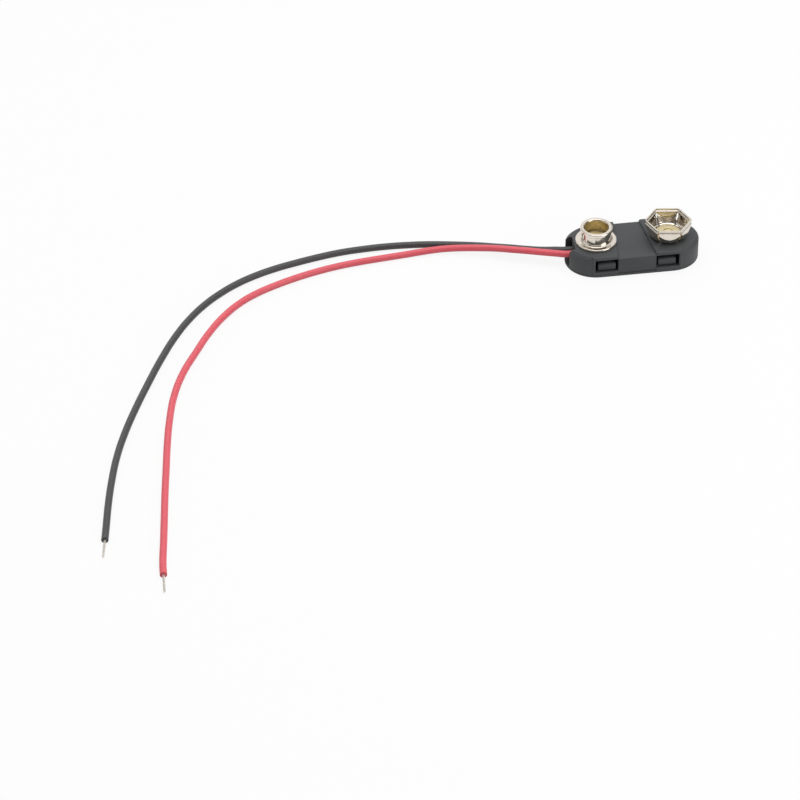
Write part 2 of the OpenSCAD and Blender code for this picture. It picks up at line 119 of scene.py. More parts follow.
RED_INSIDE = [
    (3.55, -LEAD_Y, EXIT_Z), (2.95, -LEAD_Y, EXIT_Z), (1.87, -LEAD_Y, 2.09), (0.79, -LEAD_Y, 1.76),
    (0, -LEAD_Y, 1.6), (-6.35, -LEAD_Y, 1.6), (-7.75, -LEAD_Y, 1.65), (-8.37, -LEAD_Y, 1.86),
    (-8.99, -LEAD_Y, 2.12), (-9.45, -LEAD_Y, EXIT_Z), (-10.25, -LEAD_Y, EXIT_Z)]
RED_OUTSIDE = [
    (-0.15, -0.55, 1.65), (-1.65, -0.1, 1.65), (-4.15, 0.75, 1.6), (-6.65, 1.7, 1.5), (-9.15, 2.75, 1.3),
    (-11.55, 3.75, 1.1), (-14.15, 4.7, 0.8), (-16.65, 5.45, 0.55), (-19.25, 6, 0.35), (-21.85, 6.2, 0.2),
    (-24.45, 6.15, 0.05), (-27.25, 5.85, 0), (-31.25, 5.4, 0), (-35.25, 4.9, 0), (-39.25, 4.2, 0),
    (-43.25, 3.15, 0), (-47.25, 1.75, 0), (-51.25, 0, 0), (-54.45, -1.75, 0), (-57.35, -3.9, 0),
    (-60.35, -7, 0), (-63.45, -11.3, 0), (-66.65, -17, 0), (-69.35, -22.2, 0), (-71.65, -28.5, 0),
    (-73.15, -35, 0), (-74.25, -41.4, 0), (-75.15, -47.7, 0), (-76.05, -54, 0), (-76.85, -60.1, 0),
    (-77.65, -66.2, 0), (-78.45, -72.2, 0), (-78.65, -74.8, 0)]


def whole_route(inside, outside):
    """A lead's points in metres, from its stripped end in the housing to its free end."""
    laid = [(HOUSING_END + x, y, LEAD_R + z) for x, y, z in outside]
    return [Vector(p) * MM for p in inside + laid]


def route_length(route):
    """Length of a lead from point to point, in metres."""
    return sum((b - a).length for a, b in zip(route, route[1:]))


black_route = whole_route(BLACK_INSIDE, BLACK_OUTSIDE)
red_route = whole_route(RED_INSIDE, RED_OUTSIDE)
for lead_name, route in (("black", black_route), ("red", red_route)):
    print(lead_name, "lead:", len(route), "points,", round(route_length(route) / MM, 1), "mm")

# %% Draw the leads as curves
CURVE_STEPS = 6
ROUND_STEPS = 6


def lead_curve(name, route):
    """A round jacket along a route, with flat ends."""
    bpy.ops.object.select_all(action="DESELECT")
    bpy.ops.curve.primitive_bezier_curve_add()
    lead = bpy.context.object
    lead.name = name
    spline = lead.data.splines[0]
    spline.bezier_points.add(len(route) - len(spline.bezier_points))
    for point, place in zip(spline.bezier_points, route):
        point.co = place
        point.radius = LEAD_R * MM
        point.handle_left_type = point.handle_right_type = "AUTO"
    spline.resolution_u = CURVE_STEPS
    lead.data.bevel_depth = 1
    lead.data.bevel_resolution = ROUND_STEPS
    lead.data.use_fill_caps = True
    return lead


black_jacket = lead_curve("black_jacket", black_route)
red_jacket = lead_curve("red_jacket", red_route)
print("jackets:", black_jacket.name, red_jacket.name)

# %% [markdown]
# ## Tinned ends
# The free end of each lead is stripped for 4 mm and its copper strands are twisted and dipped in
# tin. Six strands round a middle one make the usual rope. One strand is made as a ring that is
# extruded and turned step by step about the rope's axis, then copied five times round it, so
# the twist comes from the modelling itself and catches the light as real strands do.

# %% Twist the strands
STRAND_D = 0.14
STRAND_SIDES = 10
OUTER_STRANDS = 6
TIP_LEN = 4.2
TWIST_STEPS = 14
TWIST_PER_STEP = math.radians(14)


def turn(angle):
    """Turns what is selected about the rope's axis."""
    bpy.ops.transform.rotate(value=angle, orient_axis="Z", center_override=(0, 0, 0))


def twisted_end(name, route):
    """Six strands round a middle one, which go on from a route's last point."""
    bpy.ops.object.select_all(action="DESELECT")
    bpy.ops.mesh.primitive_circle_add(vertices=STRAND_SIDES, radius=STRAND_D / 2 * MM, fill_type="NGON",
                                      location=(0, 0, 0))
    tip = bpy.context.object
    tip.name = name
    bpy.ops.object.mode_set(mode="EDIT")
    bpy.ops.transform.translate(value=(STRAND_D * MM, 0, 0))
    for step in range(TWIST_STEPS):
        bpy.ops.mesh.extrude_region_move(
            TRANSFORM_OT_translate={"value": (0, 0, TIP_LEN / TWIST_STEPS * MM)})
        turn(TWIST_PER_STEP)
    bpy.ops.mesh.select_all(action="SELECT")
    for copy in range(OUTER_STRANDS - 1):
        bpy.ops.mesh.duplicate()
        turn(math.tau / OUTER_STRANDS)
    bpy.ops.mesh.primitive_cylinder_add(vertices=STRAND_SIDES, radius=STRAND_D / 2 * MM,
                                        depth=TIP_LEN * MM, location=(0, 0, TIP_LEN / 2 * MM))
    bpy.ops.mesh.select_all(action="SELECT")
    bpy.ops.mesh.normals_make_consistent(inside=False)
    bpy.ops.object.mode_set(mode="OBJECT")
    heading = (route[-1] - route[-2]).normalized()
    tip.rotation_euler = heading.to_track_quat("Z", "Y").to_euler()
    tip.location = route[-1]
    bpy.ops.object.transform_apply(location=True, rotation=True, scale=True)
    bpy.ops.object.shade_smooth_by_angle(angle=math.radians(50))
    return tip


black_strands = twisted_end("black_strands", black_route)
red_strands = twisted_end("red_strands", red_route)
print("strands:", len(red_strands.data.polygons), "faces an end")

# %% Attach the leads and hide their solids


def declare_lead(jacket, strands, node):
    """Parents a jacket and its strands to the root body and hides the lead's solids."""
    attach(jacket, "root")
    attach(strands, "root")
    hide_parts(node)
    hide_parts(node + "_tip")


declare_lead(black_jacket, black_strands, "black_lead")
declare_lead(red_jacket, red_strands, "red_lead")

# %% [markdown]
# ## Moulded housing and cover
# The two black shells are injection moulded, and a mould leaves no edge quite sharp. The solids
# already have the true walls, windows and hooks, so a copy of each is merged, its flat faces are
# made whole, and a narrow bevel rounds every sharp edge. Modelling the shells again would only
# risk their sizes. The bevel's clamp is off, because the shortest edge would hold all of them back.

# %% Soften the moulded shells
MOULD_EDGE = 0.045
EDGE_STEPS = 2
MERGE = 0.015
ONE_PLANE, SHARP, SMOOTH = math.radians(0.5), math.radians(28), math.radians(30)


def softened_copy(name, node):
    """A merged copy of a solid's mesh with a narrow round bevel on its sharp edges."""
    bpy.ops.object.select_all(action="DESELECT")
    source = frame["nodes"][node]
    source.select_set(True)
    bpy.context.view_layer.objects.active = source
    bpy.ops.object.duplicate()
    piece = bpy.context.object
    piece.name = name
    bpy.ops.object.mode_set(mode="EDIT")
    bpy.ops.mesh.select_all(action="SELECT")
    bpy.ops.mesh.remove_doubles(threshold=MERGE * MM)
    bpy.ops.mesh.dissolve_limited(angle_limit=ONE_PLANE)
    bpy.ops.object.mode_set(mode="OBJECT")
    bevel = piece.modifiers.new("soft edges", "BEVEL")
    bevel.width = MOULD_EDGE * MM
    bevel.segments = EDGE_STEPS
    bevel.limit_method = "ANGLE"
    bevel.angle_limit = SHARP
    bevel.use_clamp_overlap = False
    bpy.ops.object.modifier_apply(modifier=bevel.name)
    bpy.ops.object.shade_smooth_by_angle(angle=SMOOTH)
    # The copy is a piece of its own, so it loses the marks of a CAD node.
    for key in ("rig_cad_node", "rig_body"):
        if key in piece:
            del piece[key]
    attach(piece, "root")
    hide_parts(node)
    return piece


housing = softened_copy("housing", "top_housing")
cover = softened_copy("cover", "bottom_cover")
for shell in (housing, cover):
    print(shell.name, len(shell.data.polygons), "faces")

# %% [markdown]
# ## Six-leaf socket
# The socket is one cup drawn from thin sheet. Six flats are pressed into its round wall, a groove
# and a lip run round the top, and a slit at each corner lets the leaves spring over a battery's
# stud. Boolean cuts would leave long thin faces along those soft borders, so the cup is made as
# it is made in metal: turned round first, then each flat is pressed by scaling to nothing along
# its own direction, and the slits are opened. Only then does the sheet get its thickness, and the
# groove is pushed into both of its sides together, because a wall offset from a groove that is
# tighter than the sheet would fold over itself.

# %% Turn the cup
CUP_SIDES = 288
SHEET = 0.27
SOCKET_X = (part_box("female_socket")[0].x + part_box("female_socket")[1].x) / 2 / MM
LOBE_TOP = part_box("female_socket")[0].z / MM
CUP_HOLE_R, CUP_FLOOR_R, CUP_BEND, CUP_R = 1.25, 2.41, 1.0, 4.12
BOWL_H, CUP_H = 2.35, 3.1
GROOVE_Z, GROOVE_HALF, GROOVE_DEPTH = 2.65, 0.23, 0.225
CUP_TURN = math.radians(22)
BEND_STEPS, BOWL_STEPS, GROOVE_STEPS, LIP_STEPS = 12, 22, 14, 2


def profile_arc(centre, radius, start, end, steps):
    """Points of a rounded corner in a profile, as radius and height."""
    angles = [math.radians(start + (end - start) * i / steps) for i in range(steps + 1)]
    return [(centre[0] + radius * math.cos(a), centre[1] + radius * math.sin(a)) for a in angles]


def straight(start, end, steps):
    """Points along a straight stretch of a profile, without its start."""
    return [(start[0] + (end[0] - start[0]) * i / steps, start[1] + (end[1] - start[1]) * i / steps)
            for i in range(1, steps + 1)]


def extrude_rings(profile, middle):
    """Extrudes the selected ring along a profile of radius and height about an upright axis."""
    for (r0, z0), (r1, z1) in zip(profile, profile[1:]):
        bpy.ops.mesh.extrude_region_move(TRANSFORM_OT_translate={"value": (0, 0, (z1 - z0) * MM)})
        bpy.ops.transform.resize(value=(r1 / r0, r1 / r0, 1), center_override=middle)


rise = (CUP_R - CUP_FLOOR_R, BOWL_H - CUP_BEND)
bend_end = math.degrees(math.atan2(rise[1], rise[0]) - math.acos(CUP_BEND / math.hypot(*rise)))
bend = profile_arc((CUP_FLOOR_R, CUP_BEND), CUP_BEND, -90, bend_end, BEND_STEPS)
groove_low, groove_top = (CUP_R, GROOVE_Z - GROOVE_HALF), (CUP_R, GROOVE_Z + GROOVE_HALF)
cup_profile = ([(CUP_HOLE_R, 0)] + bend + straight(bend[-1], (CUP_R, BOWL_H), BOWL_STEPS)
               + [groove_low] + straight(groove_low, groove_top, GROOVE_STEPS)
               + straight(groove_top, (CUP_R, CUP_H), LIP_STEPS))
bpy.ops.object.select_all(action="DESELECT")
bpy.ops.mesh.primitive_circle_add(vertices=CUP_SIDES, radius=CUP_HOLE_R * MM)
crown = bpy.context.object
crown.name = "crown"
bpy.ops.object.mode_set(mode="EDIT")
extrude_rings(cup_profile, (0, 0, 0))
bpy.ops.object.mode_set(mode="OBJECT")
print("cup:", len(cup_profile), "rings,", len(crown.data.polygons), "faces")

# %% Press the flats
LEAVES = 6
SIXTH = math.tau / LEAVES
CUP_FLAT = CUP_R * math.cos(SIXTH / 2)
JUST_PAST_CORNER = SIXTH / 2 + math.radians(0.1)


def pick(wanted):
    """Selects the points of the crown whose place in millimetres is wanted."""
    bpy.ops.mesh.select_all(action="DESELECT")
    cup = bmesh.from_edit_mesh(crown.data)
    for v in cup.verts:
        v.select_set(wanted(v.co / MM))
    cup.select_flush_mode()
    bmesh.update_edit_mesh(crown.data)


def next_leaf():
    """Turns the cup by a sixth, so that another leaf faces along X."""
    bpy.ops.mesh.select_all(action="SELECT")
    bpy.ops.transform.rotate(value=SIXTH, orient_axis="Z", center_override=(0, 0, 0))


def past_flat(p):
    """Tells whether a point of the leaf that faces along X stands out past its flat."""
    return p.x > CUP_FLAT and abs(p.y) < p.x * math.tan(JUST_PAST_CORNER)


bpy.ops.object.mode_set(mode="EDIT")
for leaf in range(LEAVES):
    pick(past_flat)
    bpy.ops.transform.resize(value=(0, 1, 1), center_override=(CUP_FLAT * MM, 0, 0))
    next_leaf()
bpy.ops.object.mode_set(mode="OBJECT")
print("pressed six flats at", round(CUP_FLAT, 2), "mm")

# %% Open the slits and give the sheet its thickness
SLIT_HALF_DEG = 2.1
SLIT_DEG_PER_MM = 9


def groove_depth(z):
    """How deep the groove is at that height, in millimetres."""
    off = abs(z - GROOVE_Z) / GROOVE_HALF
    return GROOVE_DEPTH * (1 + math.cos(math.pi * off)) / 2 if off < 1 else 0


def off_corner(centre):
    """Angle between a face and the nearest corner of the hexagon."""
    angle = math.atan2(centre.y, centre.x)
    return abs(angle % SIXTH - SIXTH / 2)


def slit_half_angle(z):
    """Half of the slit at that height. Leaves meet sooner in the groove, so they end sooner there."""
    return math.radians(SLIT_HALF_DEG + SLIT_DEG_PER_MM * groove_depth(z))


bpy.ops.object.mode_set(mode="EDIT")
bpy.ops.mesh.select_mode(type="FACE")
bpy.ops.mesh.select_all(action="DESELECT")
cup = bmesh.from_edit_mesh(crown.data)
for face in cup.faces:
    centre = face.calc_center_median()
    past_floor = math.hypot(centre.x, centre.y) > CUP_FLOOR_R * MM
    face.select_set(past_floor and off_corner(centre) < slit_half_angle(centre.z / MM))
cut_faces = sum(face.select for face in cup.faces)
bmesh.update_edit_mesh(crown.data)
bpy.ops.mesh.delete(type="FACE")
bpy.ops.mesh.select_all(action="SELECT")
bpy.ops.mesh.normals_make_consistent(inside=False)
bpy.ops.mesh.select_mode(type="VERT")
bpy.ops.object.mode_set(mode="OBJECT")
# The sheet grows inwards from these faces, so they have to point away from the axis.
lip = max(crown.data.polygons, key=lambda face: face.center.z)
if lip.normal.x * lip.center.x + lip.normal.y * lip.center.y < 0:
    crown.data.flip_normals()
wall = crown.modifiers.new("sheet", "SOLIDIFY")
wall.thickness = SHEET * MM
wall.offset = -1
wall.use_even_offset = True
bpy.ops.object.modifier_apply(modifier=wall.name)
print("slits:", cut_faces, "faces cut, sheet", SHEET, "mm thick")

# %% Push in the groove and round the cut edges
SHEET_EDGE = 0.045
CUT_EDGE_STEPS = 3
CUT_EDGE = math.radians(55)
METAL_SMOOTH = math.radians(40)
CLOSE = 0.001


def on_leaf(p, level):
    """Tells whether a point is on the leaf that faces along X, on either side, at that height."""
    from_side = min(abs(p.x - CUP_FLAT), abs(p.x - CUP_FLAT + SHEET))
    return abs(p.z - level) < CLOSE and from_side < CLOSE and abs(p.y) < CUP_R / 2


groove_levels = [z for r, z in cup_profile if groove_depth(z) > CLOSE]
bpy.ops.object.mode_set(mode="EDIT")
for leaf in range(LEAVES):
    for level in groove_levels:
        pick(lambda p: on_leaf(p, level))
        bpy.ops.transform.translate(value=(-groove_depth(level) * MM, 0, 0))
    next_leaf()
bpy.ops.object.mode_set(mode="OBJECT")
crown.rotation_euler.z = CUP_TURN
crown.location = Vector((SOCKET_X, 0, LOBE_TOP)) * MM
bpy.ops.object.transform_apply(location=True, rotation=True, scale=True)
edge = crown.modifiers.new("cut edges", "BEVEL")
edge.width = SHEET_EDGE * MM
edge.segments = CUT_EDGE_STEPS
edge.limit_method = "ANGLE"
edge.angle_limit = CUT_EDGE
bpy.ops.object.modifier_apply(modifier=edge.name)
bpy.ops.object.shade_smooth_by_angle(angle=METAL_SMOOTH)
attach(crown, "root")
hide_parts("female_socket")
print("crown:", len(groove_levels), "groove levels,", len(crown.data.polygons), "faces")

# %% [markdown]
# ## Stud
# The stud is drawn from sheet: a flange, a barrel and a rim that is rolled over at the top and
# curls a little way into the mouth. A turned piece like this is a ring that is extruded and
# resized again and again along its profile. The last ring meets the first, so that the wall is
# closed.

# %% Turn the stud
RING_SIDES = 96
STUD_X = (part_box("male_stud")[0].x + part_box("male_stud")[1].x) / 2 / MM


def turned_piece(name, axis_x, base_z, profile, end_caps="NOTHING"):
    """A profile of radius and height in millimetres, turned about an upright axis."""
    bpy.ops.object.select_all(action="DESELECT")
    first_r, first_z = profile[0]
    middle = Vector((axis_x, 0, base_z)) * MM
    bpy.ops.mesh.primitive_circle_add(vertices=RING_SIDES, radius=first_r * MM, fill_type=end_caps,
                                      location=middle + Vector((0, 0, first_z * MM)))
    piece = bpy.context.object
    piece.name = name
    bpy.ops.object.transform_apply(location=True, rotation=True, scale=True)
    bpy.ops.object.mode_set(mode="EDIT")
    extrude_rings(profile if end_caps == "NGON" else profile + profile[:1], middle)
    bpy.ops.mesh.select_all(action="SELECT")
    bpy.ops.mesh.remove_doubles(threshold=CLOSE * MM)
    bpy.ops.mesh.normals_make_consistent(inside=False)
    bpy.ops.object.mode_set(mode="OBJECT")
    bpy.ops.object.shade_smooth_by_angle(angle=METAL_SMOOTH)
    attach(piece, "root")
    return piece


STUD_H, BARREL_R, RIM_R, FLANGE_R = 3.05, 2.58, 2.82, 3.63
BORE_R = BARREL_R - SHEET
FLANGE_H, FILLET, RIM_H, RIM_UNDER, RIM_ROUND = 0.5, 0.4, 0.66, 0.13, 0.2
MOUTH_R, CURL, FLANGE_ROUND = 2.08, 0.27, 0.2
FOOT_CHAMFER, FOOT_STEP = 0.1, 0.05
FILLET_AT = (BARREL_R + FILLET, FLANGE_H + FILLET)
stud_profile = (
    [(FLANGE_R - SHEET - FOOT_CHAMFER, 0), (FLANGE_R - FOOT_STEP, 0)]
    + profile_arc((FLANGE_R - FLANGE_ROUND, FLANGE_H - FLANGE_ROUND), FLANGE_ROUND, 0, 90, 6)
    + profile_arc(FILLET_AT, FILLET, 270, 180, 8)
    + [(BARREL_R, STUD_H - RIM_H - RIM_UNDER)]
    + profile_arc((RIM_R - RIM_UNDER, STUD_H - RIM_H + RIM_UNDER), RIM_UNDER, -60, 0, 6)
    + profile_arc((RIM_R - RIM_ROUND, STUD_H - RIM_ROUND), RIM_ROUND, 0, 90, 6)
    + profile_arc((MOUTH_R + CURL, STUD_H - CURL), CURL, 90, 210, 10)
    + [(BORE_R, STUD_H - RIM_H)]
    + profile_arc(FILLET_AT, FILLET + SHEET, 180, 270, 8)
    + [(FLANGE_R - SHEET, FLANGE_H - SHEET), (FLANGE_R - SHEET, FOOT_CHAMFER)])
stud = turned_piece("stud", STUD_X, LOBE_TOP, stud_profile)
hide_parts("male_stud")
print("stud:", len(stud.data.polygons), "faces")

# %% [markdown]
# ## Rivets
# A brass rivet holds each snap to its solder tag through the roof. It is bored only from below,
# and its broad head, with a shallow dish, is the gold floor that shows inside the stud and the
# socket. Its profile ends on two discs instead of meeting itself, so the first ring is filled: an
# extruded disc leaves one cap behind and carries the other along to the end.

# %% Turn the rivets
HEAD_R, HEAD_H, RIVET_R, RIVET_BORE_R, DISH, WEB = 2.11, 0.55, 1.2, 0.8, 0.3, 0.4
CLINCH_LOW, TAG_LOW, CLINCH_R = 2.45, 2.7, 1.6
CLINCH_ROUND, HEAD_ROUND, DISH_ROUND = 0.12, 0.25, 0.15


def rivet_profile(seat):
    """From the bore's end, round the outside, to the dish of a rivet that bears on that seat."""
    top = seat + HEAD_H
    return ([(RIVET_BORE_R, top - DISH - WEB), (RIVET_BORE_R, CLINCH_LOW)]
            + profile_arc((CLINCH_R - CLINCH_ROUND, CLINCH_LOW + CLINCH_ROUND), CLINCH_ROUND, -90, 0, 4)
            + [(CLINCH_R, TAG_LOW), (RIVET_R, TAG_LOW), (RIVET_R, seat), (HEAD_R, seat)]
            + profile_arc((HEAD_R - HEAD_ROUND, top - HEAD_ROUND), HEAD_ROUND, 0, 90, 6)
            + profile_arc((RIVET_BORE_R + DISH_ROUND, top - DISH_ROUND), DISH_ROUND, 90, 180, 5)
            + profile_arc((RIVET_BORE_R - DISH_ROUND, top - DISH + DISH_ROUND), DISH_ROUND, 0, -90, 5))


stud_rivet = turned_piece("stud_rivet", STUD_X, 0, rivet_profile(LOBE_TOP + FLANGE_H - SHEET), "NGON")
socket_rivet = turned_piece("socket_rivet", SOCKET_X, 0, rivet_profile(LOBE_TOP + SHEET), "NGON")
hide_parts("male_rivet")
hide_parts("female_rivet")
for rivet in (stud_rivet, socket_rivet):
    print(rivet.name, len(rivet.data.polygons), "faces")

# %% [markdown]
# ## Finishes
# Each finish starts from the real material. Colours are written as the hex values that a picture
# shows, and one function turns them into the linear values that Blender mixes with. One more
# function adds a node with its settings and links, so that each material reads as a short list.

# %% Two helpers for materials


def colour(hex_value):
    """Linear red, green, blue and alpha of an sRGB hex colour."""
    parts = [int(hex_value[i:i + 2], 16) / 255 for i in (1, 3, 5)]
    return [c / 12.92 if c <= 0.04045 else ((c + 0.055) / 1.055) ** 2.4 for c in parts] + [1]


def add_node(tree, kind, settings=None, inputs=None):
    """Adds a node, sets its properties, and fills or links its inputs."""
    node = tree.nodes.new(kind)
    for key, value in (settings or {}).items():
        setattr(node, key, value)
    for key, value in (inputs or {}).items():
        if isinstance(value, bpy.types.NodeSocket):
            tree.links.new(value, node.inputs[key])
        else:
            node.inputs[key].default_value = value
    return node


def new_material(name):
    """A material with its tree, shader and Object coordinates."""
    material = bpy.data.materials.new(name)
    material.use_nodes = True
    tree = material.node_tree
    shader = tree.nodes["Principled BSDF"]
    place = add_node(tree, "ShaderNodeTexCoord").outputs["Object"]
    return material, tree, shader, place


print("middle grey as linear:", [round(c, 3) for c in colour("#808080")])

# %% [markdown]
# ### Moulded black ABS
# ABS from a spark-eroded mould is a soft dark grey, with a fine grain and faint flow marks a few
# millimetres long. The grain spreads the gloss, so the roughness is high. It is drawn at 0.16 mm,
# coarser than the real grain, so that it still shows in a picture of the whole object.

# %% Black ABS
GRAIN_MM, FLOW_MM = 0.16, 4.0
PLASTIC_IOR = 1.53
abs_plastic, tree, shader, place = new_material("moulded_black_abs")
flow = add_node(tree, "ShaderNodeTexNoise", inputs={
    "Vector": place, "Scale": 1 / (FLOW_MM * MM), "Detail": 3})
shade = add_node(tree, "ShaderNodeValToRGB", inputs={"Fac": flow.outputs["Fac"]})
shade.color_ramp.elements[0].color = colour("#3f4244")
shade.color_ramp.elements[1].color = colour("#4a4d4f")
tree.links.new(shade.outputs["Color"], shader.inputs["Base Color"])
grain = add_node(tree, "ShaderNodeTexNoise", inputs={
    "Vector": place, "Scale": 1 / (GRAIN_MM * MM), "Detail": 2})
rough = add_node(tree, "ShaderNodeMapRange", inputs={
    "Value": grain.outputs["Fac"], "To Min": 0.5, "To Max": 0.66})
tree.links.new(rough.outputs["Result"], shader.inputs["Roughness"])
bump = add_node(tree, "ShaderNodeBump", inputs={
    "Height": grain.outputs["Fac"], "Strength": 0.25, "Distance": 0.01 * MM})
tree.links.new(bump.outputs["Normal"], shader.inputs["Normal"])
shader.inputs["IOR"].default_value = PLASTIC_IOR
print(abs_plastic.name)

# %% [markdown]
# ### Bright nickel plate
# Drawn brass sheet with a bright nickel plate is a mirror with a warm grey tint. The drawing
# leaves gentle waves of a millimetre or two, which break reflections into patches.

# %% Nickel plate
WAVE_MM, POLISH_MM = 1.6, 0.25
nickel, tree, shader, place = new_material("bright_nickel_plate")
shader.inputs["Metallic"].default_value = 1
wave = add_node(tree, "ShaderNodeTexNoise", inputs={
    "Vector": place, "Scale": 1 / (WAVE_MM * MM), "Detail": 1})
tint = add_node(tree, "ShaderNodeValToRGB", inputs={"Fac": wave.outputs["Fac"]})
tint.color_ramp.elements[0].color = colour("#d7cec0")
tint.color_ramp.elements[1].color = colour("#e6dfd5")
tree.links.new(tint.outputs["Color"], shader.inputs["Base Color"])
polish = add_node(tree, "ShaderNodeTexNoise", inputs={
    "Vector": place, "Scale": 1 / (POLISH_MM * MM), "Detail": 3})
rough = add_node(tree, "ShaderNodeMapRange", inputs={
    "Value": polish.outputs["Fac"], "To Min": 0.08, "To Max": 0.2})
tree.links.new(rough.outputs["Result"], shader.inputs["Roughness"])
bump = add_node(tree, "ShaderNodeBump", inputs={
    "Height": wave.outputs["Fac"], "Strength": 0.3, "Distance": 0.05 * MM})
tree.links.new(bump.outputs["Normal"], shader.inputs["Normal"])
print(nickel.name)

# %% [markdown]
# ### Brass
# The rivets are plain pressed brass, dull and pale, so their heads catch the light from above. Their
# pale tint is also painted light: it is lifted towards white past brass's own colour, so that the floors
# inside the stud and the socket look lit. The inside of the stud has no plate and keeps the darker gleam
# of drawn brass. Both have streaks of about half a millimetre from the tools, so one function makes
# both.

# %% Brass in two finishes
STREAK_MM = 0.5


def brass(name, deep, light, smooth, rough):
    """Bare brass with streaks between two tints and two roughnesses."""
    material, tree, shader, place = new_material(name)
    shader.inputs["Metallic"].default_value = 1
    streak = add_node(tree, "ShaderNodeTexNoise", inputs={
        "Vector": place, "Scale": 1 / (STREAK_MM * MM), "Detail": 4})
    tint = add_node(tree, "ShaderNodeValToRGB", inputs={"Fac": streak.outputs["Fac"]})
    tint.color_ramp.elements[0].color = colour(deep)
    tint.color_ramp.elements[1].color = colour(light)
    tree.links.new(tint.outputs["Color"], shader.inputs["Base Color"])
    gloss = add_node(tree, "ShaderNodeMapRange", inputs={
        "Value": streak.outputs["Fac"], "To Min": smooth, "To Max": rough})
    tree.links.new(gloss.outputs["Result"], shader.inputs["Roughness"])
    return material


# The rivets' light tint is painted light: paler than brass, so that the rivet heads on the floors of the
# stud and the socket look lit.
pressed_brass_painted_light = brass("pressed_brass_painted_light", deep="#e8d9aa", light="#faf0d2", smooth=0.52, rough=0.7)
drawn_brass = brass("drawn_brass", deep="#dcc793", light="#f2e4ba", smooth=0.34, rough=0.5)
print(pressed_brass_painted_light.name, drawn_brass.name)

# %% [markdown]
# ### Tinned copper
# Solder leaves a bright silver skin with small soft lumps.

# %% Tinned copper
LUMP_MM = 0.3
tinned, tree, shader, place = new_material("tinned_copper")
shader.inputs["Metallic"].default_value = 1
lump = add_node(tree, "ShaderNodeTexNoise", inputs={
    "Vector": place, "Scale": 1 / (LUMP_MM * MM), "Detail": 3})
tint = add_node(tree, "ShaderNodeValToRGB", inputs={"Fac": lump.outputs["Fac"]})
tint.color_ramp.elements[0].color = colour("#d9d5cb")
tint.color_ramp.elements[1].color = colour("#f1eee6")
tree.links.new(tint.outputs["Color"], shader.inputs["Base Color"])
rough = add_node(tree, "ShaderNodeMapRange", inputs={
    "Value": lump.outputs["Fac"], "To Min": 0.4, "To Max": 0.56})
tree.links.new(rough.outputs["Result"], shader.inputs["Roughness"])
bump = add_node(tree, "ShaderNodeBump", inputs={
    "Height": lump.outputs["Fac"], "Strength": 0.4, "Distance": 0.03 * MM})
tree.links.new(bump.outputs["Normal"], shader.inputs["Normal"])
print(tinned.name)

# %% [markdown]
# ### PVC jackets
# Extruded soft PVC has a satin skin with faint ripples from the die. The two jackets differ only
# in colour, so one function makes both.

# %% PVC in two colours
RIPPLE_MM = 0.8
GLOSS_SPREAD = 0.06


def pvc(name, deep, light, roughness):
    """Soft PVC of one colour, with a faint ripple."""
    material, tree, shader, place = new_material(name)
    ripple = add_node(tree, "ShaderNodeTexNoise", inputs={
        "Vector": place, "Scale": 1 / (RIPPLE_MM * MM), "Detail": 2})
    shade = add_node(tree, "ShaderNodeValToRGB", inputs={"Fac": ripple.outputs["Fac"]})
    shade.color_ramp.elements[0].color = colour(deep)
    shade.color_ramp.elements[1].color = colour(light)
    tree.links.new(shade.outputs["Color"], shader.inputs["Base Color"])
    rough = add_node(tree, "ShaderNodeMapRange", inputs={
        "Value": ripple.outputs["Fac"], "To Min": roughness - GLOSS_SPREAD,
        "To Max": roughness + GLOSS_SPREAD})
    tree.links.new(rough.outputs["Result"], shader.inputs["Roughness"])
    bump = add_node(tree, "ShaderNodeBump", inputs={
        "Height": ripple.outputs["Fac"], "Strength": 0.12, "Distance": 0.02 * MM})
    tree.links.new(bump.outputs["Normal"], shader.inputs["Normal"])
    shader.inputs["IOR"].default_value = PLASTIC_IOR
    return material


red_pvc = pvc("soft_red_pvc", deep="#f05e6c", light="#f76a76", roughness=0.4)
black_pvc = pvc("soft_black_pvc", deep="#444546", light="#505152", roughness=0.44)
print(red_pvc.name, black_pvc.name)

# %% Give each piece its finish


def finish_with(material, *pieces):
    """Puts one material on every face of the pieces."""
    for piece in pieces:
        piece.data.materials.clear()
        piece.data.materials.append(material)


nodes = frame["nodes"]
hidden_tinned = [nodes[name] for name in (
    "male_solder_tag", "female_solder_tag", "black_inner_end", "red_inner_end", "black_solder_joint",
    "red_solder_joint")]
finish_with(abs_plastic, housing, cover)
finish_with(nickel, stud, crown, nodes["male_base_washer"])
finish_with(pressed_brass_painted_light, stud_rivet, socket_rivet)
finish_with(tinned, black_strands, red_strands, *hidden_tinned)
finish_with(black_pvc, black_jacket)
finish_with(red_pvc, red_jacket)
# The stud's inner faces, below the rolled rim, keep the bare brass.
stud.data.materials.append(drawn_brass)
for face in stud.data.polygons:
    out_from_axis = Vector((face.center.x - STUD_X * MM, face.center.y))
    if face.normal.xy.dot(out_from_axis) < 0 and face.center.z < (LOBE_TOP + STUD_H - RIM_ROUND) * MM:
        face.material_index = 1
print("brass faces in the stud:", sum(face.material_index == 1 for face in stud.data.polygons))

# %% [markdown]
# ## Table and light
# The picture is a plain product shot: a white table, soft light from above and hardly any
# shadow. The table is a pale plane that throws back a modest light. The camera, and mirrors too,
# see it as white that mostly glows by itself, with enough real shading left to keep the shadow.

